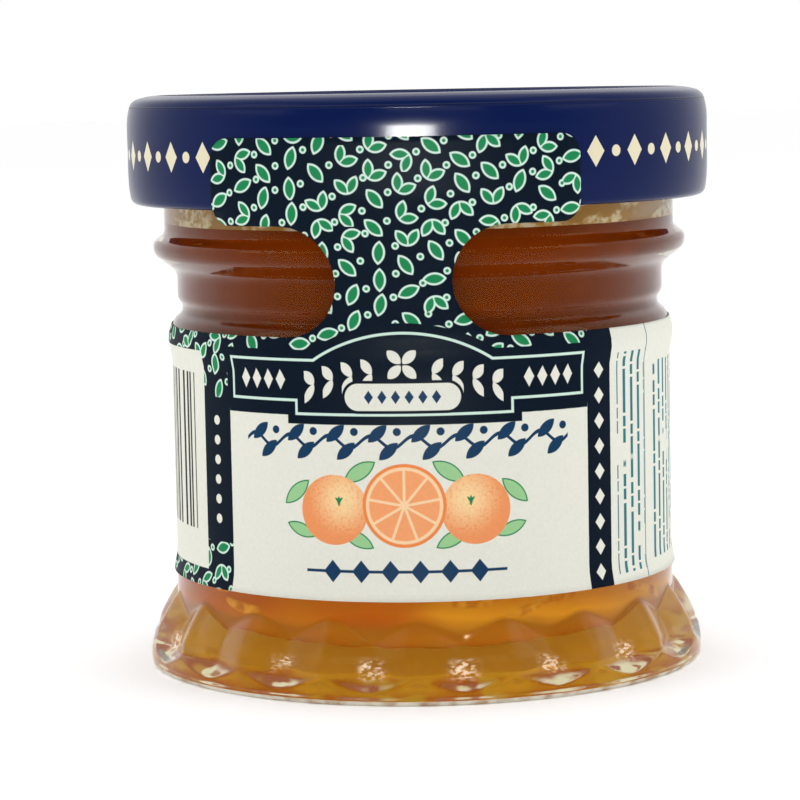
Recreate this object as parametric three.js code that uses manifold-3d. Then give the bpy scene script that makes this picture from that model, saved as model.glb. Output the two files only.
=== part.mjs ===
// A single-portion jar of orange marmalade: a thick glass jar with a knobbed foot, its filling,
// a twist-off lid and a paper label whose tab runs up over the lid.
// Millimetres, +Z up. The jar stands on z = 0 with its axis on Z, and its front faces -Y.

import * as THREE from 'three';
import { mergeVertices } from 'three/addons/utils/BufferGeometryUtils.js';
import Module from 'manifold-3d';

const wasm = await Module();
wasm.setup();

// Driving dimensions
const TOTAL_HEIGHT = 44.6;
const LID_RADIUS = 22.7;
const BODY_RADIUS = 19.2;
const BASE_RADIUS = 21.9;
const CAVITY_RADIUS = 15.9;
const FLOOR_HEIGHT = 3.0;
const FILL_HEIGHT = 34.6;
const KNOB_COUNT = 19;
const LID_HEIGHT = 8.4;
const LABEL_BOTTOM = 7.4;
const LABEL_TOP = 26.8;
const CLEARANCE = 0.3;
const JAR_SEGMENTS = 4 * KNOB_COUNT;
const PLAIN_SEGMENTS = 3 * KNOB_COUNT;
const CURVE_STEPS = 3;

// Where things point, seen from above and measured from the front towards +X
const KNOB_TURN = THREE.MathUtils.degToRad(-2.4);
const TAB_TURN = THREE.MathUtils.degToRad(-5.7);

// Glass: foot, knobs, panel, shoulder, neck, bead and mouth
const FOOT_RING_INNER = 17.2;
const FOOT_RING_OUTER = BASE_RADIUS - 0.6;
const PUSH_UP = 0.6;
const FOOT_WALL_TOP = 2.2;
const FLARE_TOP = 6.4;
const FLUTE_BOTTOM = 1.0;
const FLUTE_DEPTH = 1.15;
const RIDGE_RISE = 0.3;
const RIDGE_WIDTH = 1.5;
const SHOULDER_TOP = LABEL_TOP + 0.9;
const NECK_RADIUS = BODY_RADIUS - 0.15;
const GROOVE_RADIUS = NECK_RADIUS - 0.3;
const GROOVE_HEIGHT = 28.1;
const BEAD_RADIUS = 20.8;
const BEAD_HEIGHT = 32.9;
const MOUTH_RADIUS = 20.0;
const MOUTH_BOTTOM = 33.8;
const MOUTH_CAVITY_RADIUS = 16.9;
const RIM_ROUND = 0.6;

// Lid: a pressed cup with a rounded shoulder, a sunk centre and its lower edge rolled inwards
const LID_THICKNESS = 0.4;
const LID_CORNER = 1.5;
const LID_PANEL_RADIUS = 19.4;
const LID_PANEL_DEPTH = 0.5;
const CURL_RADIUS = 0.75;
const LID_BOTTOM = TOTAL_HEIGHT - LID_HEIGHT;
const RIM_HEIGHT = TOTAL_HEIGHT - LID_PANEL_DEPTH - LID_THICKNESS - 0.4;

// Label: one sheet, wrapped round the panel and carried up over the lid's skirt
const PAPER = 0.2;
const PAPER_GAP = 0.2;
const TAB_NECK_HALF = 4.3;
const TAB_HEAD_HALF = 14.5;
const TAB_HEAD_TOP = 41.5;
const WINDOW_RADIUS = 4.15;
const HEAD_CORNER = 1.6;
const TAB_START = LABEL_TOP - 0.6;
const TAB_LANDING = LID_BOTTOM + 1.2;
const OUTLINE_STEPS = 8;

const GLASS = new THREE.MeshStandardMaterial({
  color: 0xdfe8e4, roughness: 0.03, metalness: 0, transparent: true, opacity: 0.35,
});
const MARMALADE = new THREE.MeshStandardMaterial({ color: 0xc8681a, roughness: 0.25, metalness: 0 });
const LID_PAINT = new THREE.MeshStandardMaterial({ color: 0x12184e, roughness: 0.25, metalness: 0.4 });
const LABEL_PAPER = new THREE.MeshStandardMaterial({ color: 0xece8d8, roughness: 0.6, metalness: 0 });

// Leaves position alone, joins the seam and the pole, and drops the slivers left at the axis
function closed(geometry) {
  const bare = geometry.clone();
  bare.deleteAttribute('normal');
  bare.deleteAttribute('uv');
  const merged = mergeVertices(bare, 1e-4);
  const index = merged.index.array;
  const kept = [];
  for (let i = 0; i < index.length; i += 3) {
    const [a, b, c] = [index[i], index[i + 1], index[i + 2]];
    if (a !== b && b !== c && c !== a) kept.push(a, b, c);
  }
  merged.setIndex(kept);
  merged.computeVertexNormals();
  return merged;
}

// Turns a profile of (radius, height) points about the Z axis, from the front round towards +X
function turned(points, segments = PLAIN_SEGMENTS) {
  const geometry = new THREE.LatheGeometry(points, segments);
  geometry.rotateX(Math.PI / 2);
  return closed(geometry);
}

function toManifold(geometry) {
  return new wasm.Manifold(new wasm.Mesh({
    numProp: 3,
    vertProperties: new Float32Array(geometry.attributes.position.array),
    triVerts: new Uint32Array(geometry.index.array),
  }));
}

function toGeometry(solid) {
  const mesh = solid.getMesh();
  const geometry = new THREE.BufferGeometry();
  geometry.setAttribute('position', new THREE.BufferAttribute(new Float32Array(mesh.vertProperties), 3));
  geometry.setIndex(Array.from(mesh.triVerts));
  geometry.computeVertexNormals();
  return geometry;
}

function named(name, geometry, material) {
  const mesh = new THREE.Mesh(geometry, material);
  mesh.name = name;
  return mesh;
}

// The outer wall of the panel, with a low ridge that guards each edge of the label
function addPanel(path, offset) {
  const radius = BODY_RADIUS + offset;
  path.lineTo(radius + RIDGE_RISE, LABEL_BOTTOM);
  path.lineTo(radius, LABEL_BOTTOM + RIDGE_WIDTH);
  path.lineTo(radius, TAB_START - RIDGE_WIDTH - 0.4);
  path.lineTo(radius + RIDGE_RISE, TAB_START - 0.6);
  path.lineTo(radius + RIDGE_RISE, TAB_START);
}

// The inside of the glass, from the axis outwards and up, or moved inwards by a clearance
function cavity(clearance, top) {
  const radius = CAVITY_RADIUS - clearance;
  const floor = FLOOR_HEIGHT + clearance;
  const corner = 3.6;
  const path = new THREE.Path();
  path.moveTo(0, floor + 0.3);
  path.lineTo(radius - corner, floor);
  path.quadraticCurveTo(radius, floor, radius, floor + corner);
  path.lineTo(radius, SHOULDER_TOP - 3);
  path.lineTo(radius + 0.3, BEAD_HEIGHT - 3);
  path.lineTo(MOUTH_CAVITY_RADIUS - clearance, BEAD_HEIGHT + 1);
  path.lineTo(MOUTH_CAVITY_RADIUS - clearance, top);
  return path.getPoints(CURVE_STEPS);
}

function jarProfile() {
  const outside = new THREE.Path();
  outside.moveTo(0, PUSH_UP);
  outside.lineTo(FOOT_RING_INNER - 2, PUSH_UP);
  outside.lineTo(FOOT_RING_INNER, 0);
  outside.lineTo(FOOT_RING_OUTER, 0);
  outside.quadraticCurveTo(BASE_RADIUS, 0, BASE_RADIUS, FLUTE_BOTTOM);
  outside.lineTo(BASE_RADIUS, (FLUTE_BOTTOM + FOOT_WALL_TOP) / 2);
  outside.lineTo(BASE_RADIUS, FOOT_WALL_TOP);
  outside.bezierCurveTo(BASE_RADIUS - 0.2, FOOT_WALL_TOP + 1.9, BODY_RADIUS + 0.9, FOOT_WALL_TOP + 2.7,
    BODY_RADIUS + RIDGE_RISE + 0.1, FLARE_TOP);
  addPanel(outside, 0);
  outside.quadraticCurveTo(NECK_RADIUS + 0.1, SHOULDER_TOP - 0.6, GROOVE_RADIUS, SHOULDER_TOP);
  outside.lineTo(GROOVE_RADIUS, GROOVE_HEIGHT + 0.3);
  outside.lineTo(NECK_RADIUS, GROOVE_HEIGHT + 0.9);
  outside.lineTo(NECK_RADIUS, BEAD_HEIGHT - 2);
  outside.quadraticCurveTo(BEAD_RADIUS - 0.2, BEAD_HEIGHT - 1.1, BEAD_RADIUS, BEAD_HEIGHT - 0.4);
  outside.quadraticCurveTo(BEAD_RADIUS, BEAD_HEIGHT + 0.6, MOUTH_RADIUS, MOUTH_BOTTOM);
  outside.lineTo(MOUTH_RADIUS, RIM_HEIGHT - RIM_ROUND);
  outside.quadraticCurveTo(MOUTH_RADIUS, RIM_HEIGHT, MOUTH_RADIUS - RIM_ROUND, RIM_HEIGHT);
  outside.lineTo(MOUTH_CAVITY_RADIUS + RIM_ROUND, RIM_HEIGHT);
  const inside = cavity(0, RIM_HEIGHT - RIM_ROUND).reverse();
  return [...outside.getPoints(CURVE_STEPS), ...inside];
}

// How far the valley between two knobs lies inside the knobs' crests, at a height
function fluteDepth(height) {
  const share = (height - FLUTE_BOTTOM) / (FLARE_TOP - FLUTE_BOTTOM);
  if (share <= 0 || share >= 1) return 0;
  return FLUTE_DEPTH * Math.sin(Math.PI * share);
}

// 0 on a knob's crest and 1 half way between two knobs, nearly straight in between
function valleyShare(angle) {
  const turns = angle * KNOB_COUNT / (2 * Math.PI);
  return 2 * Math.abs(turns - Math.round(turns));
}

function jar() {
  const geometry = turned(jarProfile(), JAR_SEGMENTS);
  const position = geometry.attributes.position;
  for (let i = 0; i < position.count; i += 1) {
    const [x, y, z] = [position.getX(i), position.getY(i), position.getZ(i)];
    const radius = Math.hypot(x, y);
    if (radius < BODY_RADIUS) continue;
    const scale = 1 - fluteDepth(z) * valleyShare(Math.atan2(x, -y)) / radius;
    position.setXY(i, x * scale, y * scale);
  }
  geometry.computeVertexNormals();
  const mesh = named('jar', geometry, GLASS);
  mesh.rotation.z = KNOB_TURN;
  return mesh;
}

function marmalade() {
  const profile = cavity(CLEARANCE, FILL_HEIGHT);
  profile.push(new THREE.Vector2(0, FILL_HEIGHT));
  const mesh = named('marmalade', turned(profile), MARMALADE);
  mesh.rotation.z = KNOB_TURN;
  return mesh;
}

function lid() {
  const top = TOTAL_HEIGHT;
  const wall = LID_RADIUS - LID_THICKNESS;
  const panel = top - LID_PANEL_DEPTH;
  const curlTop = LID_BOTTOM + 2 * CURL_RADIUS;
  const path = new THREE.Path();
  path.moveTo(0, panel - LID_THICKNESS);
  path.lineTo(LID_PANEL_RADIUS, panel - LID_THICKNESS);
  path.lineTo(LID_PANEL_RADIUS + LID_PANEL_DEPTH, top - LID_THICKNESS);
  path.lineTo(wall - LID_CORNER, top - LID_THICKNESS);
  path.quadraticCurveTo(wall, top - LID_THICKNESS, wall, top - LID_THICKNESS - LID_CORNER);
  path.lineTo(wall, curlTop);
  path.quadraticCurveTo(LID_RADIUS - 2 * CURL_RADIUS, curlTop, LID_RADIUS - 2 * CURL_RADIUS,
    LID_BOTTOM + CURL_RADIUS);
  path.quadraticCurveTo(LID_RADIUS - 2 * CURL_RADIUS, LID_BOTTOM, LID_RADIUS - CURL_RADIUS, LID_BOTTOM);
  path.quadraticCurveTo(LID_RADIUS, LID_BOTTOM, LID_RADIUS, curlTop);
  path.lineTo(LID_RADIUS, top - LID_CORNER);
  path.quadraticCurveTo(LID_RADIUS, top, LID_RADIUS - LID_CORNER, top);
  path.lineTo(LID_PANEL_RADIUS + LID_PANEL_DEPTH, top);
  path.lineTo(LID_PANEL_RADIUS, panel);
  path.lineTo(0, panel);
  return named('lid', turned(path.getPoints(CURVE_STEPS)), LID_PAINT);
}

// The label's outer surface in section: up the panel, then taut from the shoulder to the lid's skirt
function paperPath() {
  const head = LID_RADIUS + PAPER_GAP + PAPER;
  const path = new THREE.Path();
  path.moveTo(BODY_RADIUS + RIDGE_RISE + PAPER_GAP + PAPER, LABEL_BOTTOM);
  addPanel(path, PAPER_GAP + PAPER);
  path.lineTo(BODY_RADIUS + RIDGE_RISE + PAPER_GAP + PAPER - 0.1, LABEL_TOP);
  path.lineTo(head, TAB_LANDING);
  path.lineTo(head, TAB_HEAD_TOP + 1);
  return path.getPoints(1);
}

// Half of the tab's outline, drawn flat: the waist between two round windows, and the wide head
function tabOutline() {
  const middle = LABEL_TOP + WINDOW_RADIUS;
  const headBottom = LABEL_TOP + 2 * WINDOW_RADIUS;
  const windowCentre = TAB_NECK_HALF + WINDOW_RADIUS;
  const edge = TAB_HEAD_HALF - HEAD_CORNER;
  const half = new THREE.Path();
  half.moveTo(windowCentre, TAB_START);
  half.absarc(windowCentre, middle, WINDOW_RADIUS, -Math.PI / 2, -Math.PI, true);
  half.absarc(windowCentre, middle, WINDOW_RADIUS, Math.PI, Math.PI / 2, true);
  half.absarc(edge, headBottom + HEAD_CORNER, HEAD_CORNER, -Math.PI / 2, 0, false);
  half.absarc(edge, TAB_HEAD_TOP - HEAD_CORNER, HEAD_CORNER, 0, Math.PI / 2, false);
  return half.getPoints(OUTLINE_STEPS);
}

// What the paper is cut to: all of it up to the label's top edge, and the tab's outline above
function labelCut(path) {
  const radiusAt = (height) => {
    const next = Math.max(1, path.findIndex((point) => point.y >= height));
    const [low, high] = [path[next - 1], path[next]];
    return low.x + (high.x - low.x) * (height - low.y) / (high.y - low.y);
  };
  const wrap = (point, side) => {
    const radius = radiusAt(point.y);
    return new THREE.Vector2(side * radius * Math.sin(point.x / radius), point.y);
  };
  const half = tabOutline();
  const right = half.map((point) => wrap(point, 1));
  const left = half.map((point) => wrap(point, -1)).reverse();
  const reach = 1.5 * LID_RADIUS;
  const prism = new THREE.ExtrudeGeometry(new THREE.Shape([...right, ...left]), {
    depth: reach, bevelEnabled: false,
  });
  prism.rotateX(Math.PI / 2);
  const slab = new THREE.BoxGeometry(2 * reach, 2 * reach, LABEL_TOP);
  slab.translate(0, 0, LABEL_TOP / 2);
  return toManifold(closed(prism)).add(toManifold(closed(slab)));
}

function label() {
  const outer = paperPath();
  const inner = outer.map((point) => new THREE.Vector2(point.x - PAPER, point.y));
  const sheet = turned([...outer, ...inner.reverse(), outer[0].clone()]);
  const solid = toManifold(sheet).intersect(labelCut(outer));
  const mesh = named('label', toGeometry(solid), LABEL_PAPER);
  mesh.rotation.z = TAB_TURN;
  return mesh;
}

const marmaladeJar = new THREE.Group();
marmaladeJar.add(jar(), marmalade(), lid(), label());

export default marmaladeJar;
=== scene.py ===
"""The looks of a single-portion jar of orange marmalade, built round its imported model.

Heights and radii are in millimetres until a piece is finished, and angles are measured from the
front of the jar round towards +X.
"""

import logging
import math
from dataclasses import dataclass, field
from enum import Enum
from functools import reduce
from random import Random
from typing import ClassVar, NamedTuple, Sequence, Union

import bmesh
import bpy
from mathutils import Matrix, Vector


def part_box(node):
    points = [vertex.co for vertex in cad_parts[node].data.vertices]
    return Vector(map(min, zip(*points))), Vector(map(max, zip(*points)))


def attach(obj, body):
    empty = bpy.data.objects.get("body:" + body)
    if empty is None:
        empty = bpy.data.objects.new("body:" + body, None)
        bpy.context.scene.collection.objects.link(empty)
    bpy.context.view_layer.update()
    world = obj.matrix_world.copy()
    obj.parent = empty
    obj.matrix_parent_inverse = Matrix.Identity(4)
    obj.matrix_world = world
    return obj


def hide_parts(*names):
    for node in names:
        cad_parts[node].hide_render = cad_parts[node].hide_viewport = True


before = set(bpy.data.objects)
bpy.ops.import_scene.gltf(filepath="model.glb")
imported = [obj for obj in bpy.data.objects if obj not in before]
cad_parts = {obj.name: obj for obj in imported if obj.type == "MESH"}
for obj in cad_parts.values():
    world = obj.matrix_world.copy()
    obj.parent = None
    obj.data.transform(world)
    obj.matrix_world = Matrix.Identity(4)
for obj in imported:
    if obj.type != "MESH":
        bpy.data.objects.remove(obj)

LOG = logging.getLogger("marmalade_jar")
MM = 0.001
BODY = "root"
TURN = 2 * math.pi
PRINT_MAP = "print"
BAND_BOTTOM = 7.4
BAND_TOP = 26.8
BLACK = (0.0, 0.0, 0.0)
WHITE = (1.0, 1.0, 1.0)

Colour = tuple[float, float, float]
Number = Union[float, int, "Socket"]
Paint = Union[Colour, "Socket"]
Layer = tuple["Socket", Paint]
Outline = list[tuple[float, float]]


def srgb(*levels: int) -> Colour:
    """Returns the linear colour of three channels from 0 to 255 as the eye reads them."""
    shares = [level / 255 for level in levels]
    return tuple(share / 12.92 if share <= 0.04045 else ((share + 0.055) / 1.055) ** 2.4
                 for share in shares)


class Socket:
    """A node's output with arithmetic, so that shader maths reads as an expression."""

    def __init__(self, graph: "Graph", output: bpy.types.NodeSocket) -> None:
        """Keeps the graph and the output it stands for."""
        self.graph = graph
        self.output = output

    def maths(self, operation: str, *others: Number, first: Number | None = None) -> "Socket":
        """Returns a Math node of this and others, or of another first value and others."""
        values = [self if first is None else first, *others]
        return self.graph.node("ShaderNodeMath", {"operation": operation}, dict(enumerate(values)))

    def __add__(self, other: Number) -> "Socket":
        """Returns this plus other."""
        return self.maths("ADD", other)

    __radd__ = __add__

    def __sub__(self, other: Number) -> "Socket":
        """Returns this minus other."""
        return self.maths("SUBTRACT", other)

    def __rsub__(self, other: Number) -> "Socket":
        """Returns other minus this."""
        return self.maths("SUBTRACT", self, first=other)

    def __mul__(self, other: Number) -> "Socket":
        """Returns this times other."""
        return self.maths("MULTIPLY", other)

    __rmul__ = __mul__

    def __truediv__(self, other: Number) -> "Socket":
        """Returns this divided by other."""
        return self.maths("DIVIDE", other)

    def __abs__(self) -> "Socket":
        """Returns the size of this."""
        return self.maths("ABSOLUTE")

    def __gt__(self, other: Number) -> "Socket":
        """Returns 1 where this is above other."""
        return self.maths("GREATER_THAN", other)

    def least(self, other: Number) -> "Socket":
        """Returns the smaller of this and other."""
        return self.maths("MINIMUM", other)

    def most(self, other: Number) -> "Socket":
        """Returns the larger of this and other."""
        return self.maths("MAXIMUM", other)

    def repeat(self, pitch: float) -> "Socket":
        """Returns how far this lies from the middle of its cell, in cells one pitch long."""
        return ((self / pitch).maths("FRACT") - 0.5) * pitch

    def ramp(self, low: float, high: float) -> "Socket":
        """Returns 0 at low and 1 at high, with a smooth rise in between."""
        settings = {"interpolation_type": "SMOOTHSTEP"}
        inputs = {"Value": self, "From Min": low, "From Max": high}
        return self.graph.node("ShaderNodeMapRange", settings, inputs)

    def fill(self, soft: float = 0.05) -> "Socket":
        """Returns 1 inside an outline, where this is the distance outside it, with a soft edge."""
        return (0.5 - self / soft).most(0).least(1)

    def stroke(self, width: float, soft: float = 0.05) -> "Socket":
        """Returns 1 along an outline drawn with a pen of that width."""
        return (abs(self) - width / 2).fill(soft)


class Graph:
    """The nodes of a material or the world, all added through one method."""

    def __init__(self, owner: Union[bpy.types.Material, bpy.types.World]) -> None:
        """Clears the owner's nodes."""
        owner.use_nodes = True
        self.tree = owner.node_tree
        self.tree.nodes.clear()

    def node(
        self,
        kind: str,
        settings: dict[str, object] | None = None,
        inputs: dict[Union[str, int], object] | None = None,
        output: Union[str, int, None] = 0,
    ) -> Socket:
        """Adds a node.

        Args:
            kind: The node's type.
            settings: What is set on the node before its sockets, with a ramp's stops under "stops".
            inputs: Each socket's value or link, by its name or number.
            output: Which output to hand back, or None for a node without one.

        Returns:
            The chosen output.
        """
        made = self.tree.nodes.new(kind)
        for name, value in (settings or {}).items():
            if name == "stops":
                self.set_stops(made, value)
            else:
                setattr(made, name, value)
        for name, value in (inputs or {}).items():
            self.feed(made.inputs[name], value)
        return Socket(self, None if output is None else made.outputs[output])

    def set_stops(self, ramp: bpy.types.Node, stops: Sequence[tuple[float, Colour]]) -> None:
        """Sets a colour ramp's stops.

        Args:
            ramp: The Color Ramp node.
            stops: Each stop's place and colour, from low to high.
        """
        elements = ramp.color_ramp.elements
        while len(elements) < len(stops):
            elements.new(1.0)
        for element, (place, colour) in zip(elements, stops):
            element.position = place
            element.color = (*colour, 1.0)

    def feed(self, socket: bpy.types.NodeSocket, value: object) -> None:
        """Links or sets one socket.

        Args:
            socket: The input to fill.
            value: A Socket to link, a number, or a colour of three channels.
        """
        if isinstance(value, Socket):
            self.tree.links.new(value.output, socket)
        elif socket.type == "RGBA":
            socket.default_value = (*value, 1.0)
        else:
            socket.default_value = value

    def mix(self, share: Number, low: Paint, high: Paint) -> Socket:
        """Returns the blend of two colours: low where the share is 0, and high where it is 1."""
        return self.node("ShaderNodeMix", {"data_type": "RGBA"}, {0: share, 6: low, 7: high}, output=2)

    def split(self, vector: Socket) -> tuple[Socket, Socket, Socket]:
        """Returns a vector's three parts."""
        parts = self.node("ShaderNodeSeparateXYZ", inputs={0: vector}).output.node.outputs
        return Socket(self, parts[0]), Socket(self, parts[1]), Socket(self, parts[2])

    def polar(self, where: Socket) -> tuple[Socket, Socket, Socket]:
        """Returns the angle from the jar's front, the distance from its axis, and the height."""
        x, y, height = self.split(where)
        return x.maths("ARCTAN2", -1 * y), (x * x + y * y).maths("SQRT"), height

    def place(self) -> Socket:
        """Returns the object coordinates in millimetres."""
        coordinates = self.node("ShaderNodeTexCoord", output="Object")
        settings = {"operation": "SCALE"}
        return self.node("ShaderNodeVectorMath", settings, {0: coordinates, "Scale": 1 / MM})

    def cloud(self, where: Socket, size: float, detail: float = 2.0, stretch: Colour = WHITE) -> Socket:
        """Returns a noise near a half, with blotches of that size in stretched coordinates."""
        mapped = self.node("ShaderNodeMapping", inputs={"Vector": where, "Scale": stretch})
        inputs = {"Vector": mapped, "Scale": 1 / size, "Detail": detail}
        return self.node("ShaderNodeTexNoise", inputs=inputs)

    def bump(self, height: Socket, depth: float) -> Socket:
        """Returns a normal raised by a height whose full depth is given in millimetres."""
        return self.node("ShaderNodeBump", inputs={"Distance": depth * MM, "Height": height})

    def surface(self, inputs: dict[str, object]) -> Socket:
        """Returns a Principled shader with those sockets set or linked."""
        return self.node("ShaderNodeBsdfPrincipled", inputs=inputs)

    def glowing(self, colour: Paint, own_light: float, inputs: dict[str, object]) -> Socket:
        """Returns a Principled shader that also gives off a little of its colour as light."""
        glow = {"Base Color": colour, "Emission Color": colour, "Emission Strength": own_light}
        return self.surface({**glow, **inputs})

    def finish(self, shader: Socket, kind: str = "ShaderNodeOutputMaterial") -> None:
        """Sends a shader to the output."""
        self.node(kind, inputs={"Surface": shader}, output=None)


class Finish:
    """What every finish shares: a name, and a material made of what it paints."""

    title: ClassVar[str]

    def paint(self, graph: Graph) -> Socket:
        """Returns the finish's shader."""
        raise NotImplementedError

    def material(self) -> bpy.types.Material:
        """Returns the finished material."""
        material = bpy.data.materials.new(self.title)
        graph = Graph(material)
        graph.finish(self.paint(graph))
        return material


@dataclass(frozen=True)
class ClearGlass(Finish):
    """Thick moulded glass with a faint grey-green tint."""

    title: ClassVar[str] = "clear_glass"
    belt: "KnobBelt"
    tint: Colour = srgb(247, 251, 248)
    gloss: Colour = srgb(128, 124, 92)
    ior: float = 1.5
    unevenness: float = 0.06
    dimples_end: tuple[float, float] = (2.0, 4.5)
    seams_start: tuple[float, float] = (27.0, 28.5)
    # The pale colour that the scratched patches glow with is a painted glint.
    painted_glint: Colour = srgb(244, 236, 222)
    scuff_height: float = 2.5
    scuff_half: tuple[float, float] = (0.2, 1.0)
    crown_half: tuple[float, float] = (0.3, 1.6)
    scuff_roughness: float = 0.5
    painted_glint_light: float = 0.7

    def scuffs_and_glints(self, graph: Graph, where: Socket) -> Socket:
        """Returns where the glass is scratched and where glints are painted: patches of fine scratches
        low on the crowns of some knobs.
        """
        angle, _, height = graph.polar(where)
        across = abs((angle - self.belt.turn).repeat(TURN / self.belt.count)) * self.belt.radius
        crown = 1 - across.ramp(*self.crown_half)
        band = 1 - abs(height - self.scuff_height).ramp(*self.scuff_half)
        some = graph.cloud(where, 5.0, 1.0).ramp(0.45, 0.55)
        scratches = graph.cloud(where, 0.4, 5.0, (1.0, 1.0, 2.2)).ramp(0.42, 0.66)
        return crown * band * some * scratches

    def paint(self, graph: Graph) -> Socket:
        """Returns the glass, with the faint unevenness of a moulded surface, and painted glints that glow
        in the scratched patches on the knobs.
        """
        where = graph.place()
        height = graph.split(where)[2]
        dimples = graph.cloud(where, 0.9, 1.0) * (1 - height.ramp(*self.dimples_end))
        seams = graph.cloud(where, 1.0, 2.0, (0.04, 0.04, 1.0)) * height.ramp(*self.seams_start)
        waves = graph.cloud(where, 5.0, 1.0) + dimples * 0.25 + seams * 0.3
        scuffs_and_glints = self.scuffs_and_glints(graph, where)
        return graph.surface({
            "Base Color": self.tint,
            "Roughness": scuffs_and_glints * self.scuff_roughness,
            "IOR": self.ior,
            "Transmission Weight": 1.0,
            "Specular Tint": self.gloss,
            # Where scratched, the glass is rougher, as real scratches are, and also glows with a painted
            # glint standing in for highlights on the knobs' crowns.
            "Emission Color": graph.mix(scuffs_and_glints, BLACK, self.painted_glint),
            "Emission Strength": self.painted_glint_light,
            "Normal": graph.bump(waves, self.unevenness),
        })


@dataclass(frozen=True)
class FrostedRing(Finish):
    """The roughened ring that the jar stands on."""

    title: ClassVar[str] = "frosted_ring"
    frost: Colour = srgb(206, 200, 184)
    stain: Colour = srgb(160, 128, 92)
    own_light: float = 0.1

    def paint(self, graph: Graph) -> Socket:
        """Returns the frosted glass, which glows a little with the light that the wall pipes down."""
        grain = graph.cloud(graph.place(), 1.5, 4.0)
        colour = graph.mix(grain.ramp(0.3, 0.6), self.stain, self.frost)
        return graph.glowing(colour, self.own_light, {"Roughness": 0.6})


@dataclass(frozen=True)
class AmberFoot(Finish):
    """The underside of the glass, where the filling's colour shows through."""

    title: ClassVar[str] = "amber_foot"
    amber: Colour = srgb(186, 134, 28)
    brown: Colour = srgb(164, 92, 20)
    olive: Colour = srgb(186, 150, 46)
    pale: Colour = srgb(212, 206, 180)
    amber_radius: float = 17.0
    wander: float = 4.0
    own_light: float = 0.4

    def paint(self, graph: Graph) -> Socket:
        """Returns the amber underside."""
        where = graph.place()
        radius = graph.polar(where)[1] + (graph.cloud(where, 4.0) - 0.5) * self.wander
        blotches = graph.cloud(where, 3.2, 1.0).ramp(0.5, 0.62) * 0.8
        ring = graph.mix(blotches, self.brown, self.olive)
        stained = graph.mix(radius.ramp(self.amber_radius - 1.5, self.amber_radius + 1), self.amber, ring)
        # Pale patches at the outer edge are painted brightness of the white surroundings seen through
        # clear glass.
        clear = radius.ramp(self.amber_radius + 0.6, self.amber_radius + 2.0)
        clear = clear * graph.cloud(where, 2.6, 2.0).ramp(0.44, 0.54)
        colour = graph.mix(clear, stained, self.pale)
        # The emission is a painted glow standing in for light that reaches the filling through the glass.
        return graph.glowing(colour, self.own_light, {"Roughness": 0.3, "Specular IOR Level": 0.1})


@dataclass(frozen=True)
class FruitJelly(Finish):
    """Amber orange jelly, darkened by painted shade in the neck and lightened by a painted glow near the
    foot, where light comes from below.
    """

    title: ClassVar[str] = "fruit_jelly"
    # From the neck down to the foot these colours run from painted shade to a painted glow; the ochre at
    # the foot stands in for light through the thick glass of the knobs.
    neck_shade: Colour = srgb(106, 40, 4)
    body: Colour = srgb(190, 84, 10)
    orange: Colour = srgb(200, 116, 22)
    glowing: Colour = srgb(226, 154, 32)
    ochre: Colour = srgb(170, 104, 22)
    bands: tuple[float, ...] = (4.7, 5.8, 8.0, 14.0, 27.0)
    top: float = 34.0
    roughness: float = 0.4
    scatter: float = 0.5
    scatter_reach: float = 2.5
    own_light: float = 0.18

    def paint(self, graph: Graph) -> Socket:
        """Returns the jelly."""
        where = graph.place()
        height = graph.split(where)[2]
        clouds = graph.cloud(where, 9.0, 2.0) - 0.5
        patches = graph.cloud(where, 11.0, 1.0, (1.0, 1.0, 0.6)).ramp(0.4, 0.58)
        level = (height + clouds * 3) / self.top
        colours = [self.ochre, self.glowing, self.orange, self.body, self.neck_shade]
        stops = [(place / self.top, colour) for place, colour in zip(self.bands, colours)]
        lit_foot_to_shaded_neck = graph.node("ShaderNodeValToRGB", {"stops": stops}, {"Fac": level})
        # Near the foot, random patches of the plain body colour break up the painted glow.
        near_foot = height.ramp(4.3, 5.8) * (1 - height.ramp(6.0, 13.0))
        colour = graph.mix((1 - patches) * near_foot * 0.75, lit_foot_to_shaded_neck, self.body)
        # The emission is a painted glow standing in for light that passes through the jelly.
        return graph.glowing(colour, self.own_light, {
            "Roughness": self.roughness,
            "IOR": 1.4,
            "Specular IOR Level": 0.0,
            "Subsurface Weight": self.scatter,
            "Subsurface Radius": (1.0, 0.4, 0.12),
            "Subsurface Scale": self.scatter_reach * MM,
        })


@dataclass(frozen=True)
class CandiedPeel(Finish):
    """Shredded orange peel, soaked and half clear."""

    title: ClassVar[str] = "candied_peel"
    peel: Colour = srgb(226, 158, 44)
    edge: Colour = srgb(196, 112, 20)
    own_light: float = 0.2

    def paint(self, graph: Graph) -> Socket:
        """Returns the peel."""
        mottle = graph.cloud(graph.place(), 0.9, 3.0)
        colour = graph.mix(mottle.ramp(0.35, 0.65), self.edge, self.peel)
        # The emission is a painted glow standing in for light through the thin peel.
        return graph.glowing(colour, self.own_light, {
            "Roughness": 0.5,
            "Specular IOR Level": 0.0,
            "Subsurface Weight": 0.5,
            "Subsurface Radius": (1.0, 0.5, 0.2),
            "Subsurface Scale": 1.0 * MM,
        })


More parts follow.
